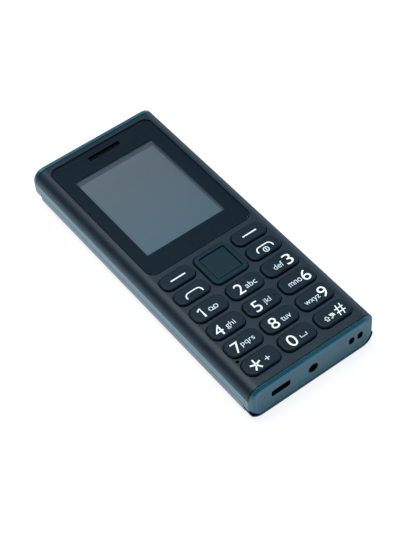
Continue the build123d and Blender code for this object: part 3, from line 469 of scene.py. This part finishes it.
# Moulded acrylic of the torch lens: clear and a little frosted.
clear("moulded acrylic", "#f0f3f5", 0.06)
# Glass of the display cell, switched off: a dull grey, with painted reflection and painted shade.
display_cell("display glass")
# Fibreglass of the main board under its solder mask: green with a fine maze of paler runs.
circuit_board("solder-masked fibreglass")

# painted highlight of the ends' step, and painted shade inside the frame
shade_and_mark_frame(MATERIALS["satin polycarbonate"])
thin_print(MATERIALS["printed ink"])

FINISH = {
    "textured ABS": ["front_shell"],
    "satin polycarbonate": ["side_frame"],
    "glossy polycarbonate": ["back_cover"],
    "glass-filled nylon": ["rear_chassis"],
    "green lacquered polycarbonate": ["nav_ring", "nav_select"],
    "moulded acetal": ["nav_seat"],
    "moulded silicone": ["keypad_mat"],
    "moulded rubber": ["microphone_boot"],
    "open-cell foam": ["display_gasket", "speaker_gasket"],
    "printed ink": ["lens_mask"],
    "clear tape": ["lens_adhesive"],
    "white polycarbonate": ["lcd_backlight"],
    "polyimide film": ["lcd_flex"],
    "polyester film": ["dome_sheet"],
    "moulded epoxy": ["board_chips"],
    "black nylon": ["audio_jack", "battery_connector"],
    "lacquered steel": ["earpiece", "loudspeaker", "vibration_motor", "microphone"],
    "wrapped film": ["battery"],
    "yellow phosphor": ["torch_led"],
    "zinc-plated steel": ["chassis_screws"],
    "tin-plated steel": [
        "shield_can_upper",
        "shield_can_lower",
        "sim_socket_1",
        "sim_socket_2",
        "card_socket",
        "usb_socket",
    ],
    "woven steel": ["earpiece_mesh"],
    "etched copper": ["antenna"],
    "cast acrylic": ["display_lens"],
    "moulded acrylic": ["torch_lens"],
    "display glass": ["lcd_glass"],
    "solder-masked fibreglass": ["main_board"],
}
finish_of = {node: name for name, nodes in FINISH.items() for node in nodes}
for node_name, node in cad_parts.items():
    # the nodes that FINISH doesn't name are the keys
    finish = MATERIALS[finish_of.get(node_name, "lacquered polycarbonate")]
    for slot in node.material_slots:
        slot.material = finish

# Printed legends: thin ink on the flat tops of the keys
KEY_TOP = 15.4 * MM
INK_SUNK, INK_PROUD = 0.01 * MM, 0.02 * MM  # how far the ink reaches into the key and stands above it
TEXT_DEPTH = 0.1  # any depth does, since fit gives the ink its own


def fit(piece, name, box, ink, body):
    """Turns a text or curve into thin ink that fills box (x0, y0, x1, y1 in mm) on that key."""
    bpy.ops.object.select_all(action="DESELECT")
    piece.select_set(True)
    bpy.context.view_layer.objects.active = piece
    bpy.ops.object.convert(target="MESH")
    piece = bpy.context.view_layer.objects.active
    corners = [Vector(c) for c in piece.bound_box]
    low = Vector(min(c[i] for c in corners) for i in range(3))
    high = Vector(max(c[i] for c in corners) for i in range(3))
    start = Vector((box[0] * MM, box[1] * MM, KEY_TOP - INK_SUNK))
    end = Vector((box[2] * MM, box[3] * MM, KEY_TOP + INK_PROUD))
    size = Vector((end[i] - start[i]) / (high[i] - low[i]) for i in range(3))
    piece.scale = size
    piece.location = Vector(start[i] - low[i] * size[i] for i in range(3))
    bpy.ops.object.transform_apply(location=True, rotation=True, scale=True)
    bpy.ops.object.shade_flat()
    piece.name = name
    piece.data.materials.clear()
    piece.data.materials.append(MATERIALS[ink])
    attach(piece, body)


def text(body, name, words, box, ink, weight):
    """Lettering in the built-in font, its strokes made thicker by weight (in ems) or thinner below zero."""
    bpy.ops.object.select_all(action="DESELECT")
    bpy.ops.object.text_add()
    piece = bpy.context.object
    piece.data.body = words
    piece.data.offset = weight
    piece.data.extrude = TEXT_DEPTH
    fit(piece, name, box, ink, body)


def stroke(body, name, lines, width, box, ink):
    """Drawn lines of one width; each line is a list of (x, y), closed where it ends at its start."""
    bpy.ops.object.select_all(action="DESELECT")
    bpy.ops.curve.primitive_bezier_curve_add()
    piece = bpy.context.object
    piece.data.splines.clear()
    for line in lines:
        closed = line[0] == line[-1]
        points = line[:-1] if closed else line
        spline = piece.data.splines.new("POLY")
        spline.points.add(len(points) - 1)
        for point, (x, y) in zip(spline.points, points):
            point.co = (x, y, 0.0, 1.0)
        spline.use_cyclic_u = closed
    piece.data.bevel_depth = width / 2
    piece.data.bevel_resolution = 1
    piece.data.use_fill_caps = True
    fit(piece, name, box, ink, body)


def arc(centre_x, centre_y, radius, start, end, steps):
    """Points along an arc from start to end in degrees."""
    turns = [math.radians(start + (end - start) * i / steps) for i in range(steps + 1)]
    points = [(centre_x + radius * math.cos(t), centre_y + radius * math.sin(t)) for t in turns]
    if end - start == 360:
        points[-1] = points[0]
    return points


DIGIT_WEIGHT, LETTER_WEIGHT = -0.003, -0.005
# key, digit or sign and its box, small letters and their box
LETTERS = [
    ("key_2", "2", (-3.65, -28.25, -0.9, -23.95), "abc", (-0.1, -27.5, 4.05, -25.3)),
    ("key_3", "3", (16.05, -28.35, 18.9, -24.05), "def", (11.5, -27.5, 15.2, -25.3)),
    ("key_4", "4", (-18.9, -37.2, -16.0, -32.95), "ghi", (-14.75, -36.65, -11.25, -34.05)),
    ("key_5", "5", (-3.7, -37.25, -1.0, -32.95), "jkl", (0.45, -36.65, 3.0, -34.05)),
    ("key_6", "6", (16.1, -37.1, 18.95, -32.7), "mno", (10.75, -36.05, 15.6, -34.45)),
    ("key_7", "7", (-18.55, -45.85, -15.75, -41.65), "pqrs", (-15.5, -45.15, -10.35, -43.2)),
    ("key_8", "8", (-3.8, -45.85, -1.0, -41.45), "tuv", (0.3, -45.05, 3.9, -43.25)),
    ("key_9", "9", (16.0, -45.85, 18.85, -41.45), "wxyz", (9.9, -45.55, 15.7, -43.55)),
    ("key_0", "0", (-3.85, -54.7, -0.8, -50.3), "", None),
    ("key_hash", "#", (15.35, -54.6, 18.65, -50.35), "", None),
    ("key_star", "", None, "+", (-13.25, -53.65, -11.4, -51.8)),
]
for body, large, large_box, small, small_box in LETTERS:
    if large:
        text(body, "legend_" + body, large, large_box, "white lacquer", DIGIT_WEIGHT)
    if small:
        text(body, "letters_" + body, small, small_box, "thin lacquer", LETTER_WEIGHT)

# Lines of the drawn signs, whose size and place come from their boxes
RING_STEPS, TURN_STEPS = 16, 6
ONE = [[(0.0, 3.3), (1.3, 4.1), (1.3, 0.0)]]
STAR_TURNS = [math.radians(360 / 5 * arm) for arm in range(5)]
STAR = [[(0.0, 0.0), (math.sin(turn), math.cos(turn))] for turn in STAR_TURNS]
# two reels joined by their tape
VOICEMAIL = [
    arc(0.0, 0.0, 0.72, 0, 360, RING_STEPS),
    arc(2.0, 0.0, 0.72, 0, 360, RING_STEPS),
    [(0.0, -0.75), (2.0, -0.75)],
]
SPACE = [[(0.0, 1.0), (0.0, 0.0), (2.4, 0.0), (2.4, 1.0)]]
SHIFT = [[(1.0, 2.0), (0.0, 1.0), (0.5, 1.0), (0.5, 0.0), (1.5, 0.0), (1.5, 1.0), (2.0, 1.0), (1.0, 2.0)]]
MUTE = [
    [(0.0, 0.2), (1.0, 0.6), (0.2, 2.0)],
    [(0.3, 0.0), (0.9, 0.9), (1.7, 1.9)],
    [(0.9, 0.9), (2.0, 0.8)],
    [(0.6, 1.8), (1.6, 1.7), (1.9, 0.9)],
]
DASH = [[(0.0, 0.0), (6.0, 0.0)]]
# a handset as one line: a bridge with a rounded drop at each end
HALF, TURN, DROP = 3.0, 1.5, 2.2
LEFT_TURN = arc(TURN - HALF, -TURN, TURN, 180, 90, TURN_STEPS)
RIGHT_TURN = arc(HALF - TURN, -TURN, TURN, 90, 0, TURN_STEPS)
HANDSET = [[(-HALF, -DROP)] + LEFT_TURN + RIGHT_TURN + [(HALF, -DROP)]]
POWER = [arc(0.0, 0.0, 0.95, 0, 360, RING_STEPS), [(0.0, 0.5), (0.0, -0.5)]]

# key, name, lines, their width in the units of their points, box, ink
SIGNS = [
    ("key_1", "legend_key_1", ONE, 0.8, (-18.45, -28.2, -16.6, -24.0), "white lacquer"),
    ("key_star", "legend_key_star", STAR, 0.32, (-18.6, -54.7, -14.6, -50.4), "white lacquer"),
    ("key_1", "letters_key_1", VOICEMAIL, 0.36, (-14.95, -27.5, -11.25, -25.75), "thin lacquer"),
    ("key_0", "letters_key_0", SPACE, 0.36, (0.55, -53.55, 3.2, -52.45), "white lacquer"),
    ("key_hash", "letters_key_hash_shift", SHIFT, 0.5, (10.35, -53.95, 12.45, -51.85), "white lacquer"),
    ("key_hash", "letters_key_hash_mute", MUTE, 0.5, (12.6, -54.0, 14.65, -51.85), "white lacquer"),
    ("soft_key_left", "legend_soft_key_left", DASH, 0.62, (-17.35, -10.08, -11.55, -9.46), "white lacquer"),
    ("soft_key_right", "legend_soft_key_right", DASH, 0.62, (11.85, -10.08, 17.45, -9.46), "white lacquer"),
    ("call_key", "legend_call_key", HANDSET, 0.56, (-17.6, -19.1, -11.0, -16.8), "white lacquer"),
    ("end_key", "legend_end_key", HANDSET, 0.56, (11.45, -18.65, 18.0, -16.25), "white lacquer"),
    ("end_key", "letters_end_key", POWER, 0.4, (13.55, -19.8, 15.85, -17.4), "thin lacquer"),
]
for body, name, lines, width, box, ink in SIGNS:
    stroke(body, name, lines, width, box, ink)

# Table: pale paper that shows white, with the phone's own soft shadow, and painted light and shadow in its
# glow
TABLE_SIDE = 6.0
TABLE_GAP = 0.05 * MM  # keeps the table's face clear of the cover's
PAPER = (0.2, 0.22, 0.23, 1.0)  # share of the lamp's light that the paper gives back
SEEN_GLOW = (0.84, 0.84, 0.84, 1.0)  # glow that the camera sees beside that
CAST_GLOW = (0.62, 0.76, 0.83, 1.0)  # glow that falls on the phone
LEFT_FROM, LEFT_FULL = -22.0 * MM, -32.0 * MM  # painted light: towards the left the cast glow rises between these
PLAIN_STRENGTH, LEFT_STRENGTH = 0.95, 1.8
END_FROM, END_FULL = -63.8 * MM, -61.6 * MM  # painted shadow: close to the socket end the cast glow is dimmed between these
END_SHARE = 0.45  # what is left of it there
END_SIDE = -24.8 * MM  # but not further left than this


def table_paper(name):
    """Paper: even glow for the camera, painted light and shadow in the phone's glow, not seen from below."""
    material = new_material(name)
    tree = material.node_tree
    paper = add_node(tree, "ShaderNodeBsdfDiffuse", {"Color": PAPER})
    seen = add_node(tree, "ShaderNodeLightPath", {}).outputs["Is Camera Ray"]
    tint = add_node(tree, "ShaderNodeMix", {0: seen, 6: CAST_GLOW, 7: SEEN_GLOW}, data_type="RGBA")
    spot = add_node(tree, "ShaderNodeNewGeometry", {}).outputs
    where = add_node(tree, "ShaderNodeSeparateXYZ", {"Vector": spot["Position"]}).outputs
    # painted light: the glow rises beyond the phone's left side
    left_glow = add_node(
        tree,
        "ShaderNodeMapRange",
        {
            "Value": where["X"],
            "From Min": LEFT_FULL,
            "From Max": LEFT_FROM,
            "To Min": LEFT_STRENGTH,
            "To Max": PLAIN_STRENGTH,
        },
    )
    # painted shadow: the glow falls close to the socket end
    end_shade = add_node(
        tree,
        "ShaderNodeMapRange",
        {
            "Value": where["Y"],
            "From Min": END_FROM,
            "From Max": END_FULL,
            "To Min": 1.0,
            "To Max": END_SHARE,
        },
    )
    clear_of_end = add_node(tree, "ShaderNodeMath", {0: where["X"], 1: END_SIDE}, operation="LESS_THAN")
    shade = add_node(
        tree, "ShaderNodeMath", {0: end_shade.outputs[0], 1: clear_of_end.outputs[0]}, operation="MAXIMUM"
    )
    cast = add_node(
        tree, "ShaderNodeMath", {0: left_glow.outputs[0], 1: shade.outputs[0]}, operation="MULTIPLY"
    )
    strength = add_node(
        tree, "ShaderNodeMapRange", {"Value": seen, "To Min": cast.outputs[0], "To Max": 1.0}
    )
    glow = add_node(tree, "ShaderNodeEmission", {"Color": tint.outputs[2], "Strength": strength.outputs[0]})
    lit = add_node(tree, "ShaderNodeAddShader", {0: paper.outputs[0], 1: glow.outputs[0]})
    nothing = add_node(tree, "ShaderNodeBsdfTransparent", {})
    surface = add_node(
        tree, "ShaderNodeMixShader", {0: spot["Backfacing"], 1: lit.outputs[0], 2: nothing.outputs[0]}
    )
    show(material, surface.outputs[0])


bpy.ops.object.select_all(action="DESELECT")
bpy.ops.mesh.primitive_plane_add(size=TABLE_SIDE, location=(0.0, 0.0, -TABLE_GAP))
table = bpy.context.object
table.name = "table_top"
bpy.ops.object.transform_apply(location=True, rotation=True, scale=True)
table_paper("matte paper")
table.data.materials.append(MATERIALS["matte paper"])

# Room light: white to the camera; to the phone a dim, cool sky with a glow on its right
SKY, SKY_FOOT = 0.22, 0.01  # strength overhead and near the horizon
SKY_FROM, SKY_FULL = 0.5, 0.8  # the sky brightens between these heights, 1 being overhead
RIGHT_SKY = 7 * SKY  # strength of the glow at its fullest
RIGHT_FROM, RIGHT_FULL = 0.4, 0.8  # the glow rises between these, 1 being fully to the right
SKY_TINT = (0.78, 0.97, 1.12, 1.0)
WHITE = (1.0, 1.0, 1.0, 1.0)

world = bpy.data.worlds.new("studio")
bpy.context.scene.world = world
world.use_nodes = True
tree = world.node_tree
tree.nodes.clear()
seen = add_node(tree, "ShaderNodeLightPath", {}).outputs["Is Camera Ray"]
way = add_node(tree, "ShaderNodeTexCoord", {}).outputs["Generated"]
compass = add_node(tree, "ShaderNodeSeparateXYZ", {"Vector": way}).outputs
overhead = add_node(
    tree,
    "ShaderNodeMapRange",
    {"Value": compass["Z"], "From Min": SKY_FROM, "From Max": SKY_FULL, "To Min": SKY_FOOT, "To Max": SKY},
)
to_right = add_node(
    tree,
    "ShaderNodeMapRange",
    {
        "Value": compass["X"],
        "From Min": RIGHT_FROM,
        "From Max": RIGHT_FULL,
        "To Min": 0.0,
        "To Max": RIGHT_SKY,
    },
)
room = add_node(
    tree, "ShaderNodeMath", {0: overhead.outputs[0], 1: to_right.outputs[0]}, operation="MAXIMUM"
)
level = add_node(tree, "ShaderNodeMapRange", {"Value": seen, "To Min": room.outputs[0], "To Max": 1.0})
tone = add_node(tree, "ShaderNodeMix", {0: seen, 6: SKY_TINT, 7: WHITE}, data_type="RGBA")
sky = add_node(tree, "ShaderNodeBackground", {"Color": tone.outputs[2], "Strength": level.outputs[0]})
add_node(tree, "ShaderNodeOutputWorld", {"Surface": sky.outputs[0]})

# Lamp: one square soft box high above the earpiece end, facing the phone
LAMP_PLACE = Vector((-0.12, 0.3, 1.05))
LAMP_SIDE, LAMP_POWER = 0.9, 15.5
LAMP_COLOUR = (0.9, 0.98, 1.0)

lamp = bpy.data.lights.new("lamp_above", "AREA")
lamp.shape = "SQUARE"
lamp.size = LAMP_SIDE
lamp.energy = LAMP_POWER
lamp.color = LAMP_COLOUR
holder = bpy.data.objects.new("lamp_above", lamp)
bpy.context.collection.objects.link(holder)
holder.location = LAMP_PLACE
holder.rotation_euler = (-LAMP_PLACE).to_track_quat("-Z", "Y").to_euler()

# Camera: the photograph's own angle, as its place, its axes, its focal length and sensor in mm
CAMERA_PLACE = (-182.395 * MM, -276.129 * MM, 399.297 * MM)
CAMERA_RIGHT = Vector((0.7947119, -0.60479853, -0.05149499))
CAMERA_UP = Vector((0.49363773, 0.59461006, 0.63463428))
CAMERA_BACK = Vector((-0.35320644, -0.52977129, 0.77109506))
FOCAL_LENGTH, SENSOR_WIDTH = 103.36, 36.0
NEAR = 10 * MM

camera = bpy.data.cameras.new("camera")
camera.sensor_width = SENSOR_WIDTH
camera.lens = FOCAL_LENGTH
camera.clip_start = NEAR
viewer = bpy.data.objects.new("camera", camera)
bpy.context.collection.objects.link(viewer)
turned = Matrix((CAMERA_RIGHT, CAMERA_UP, CAMERA_BACK)).transposed().to_4x4()
viewer.matrix_world = Matrix.Translation(CAMERA_PLACE) @ turned
bpy.context.scene.camera = viewer
bpy.context.scene.view_settings.view_transform = "Standard"
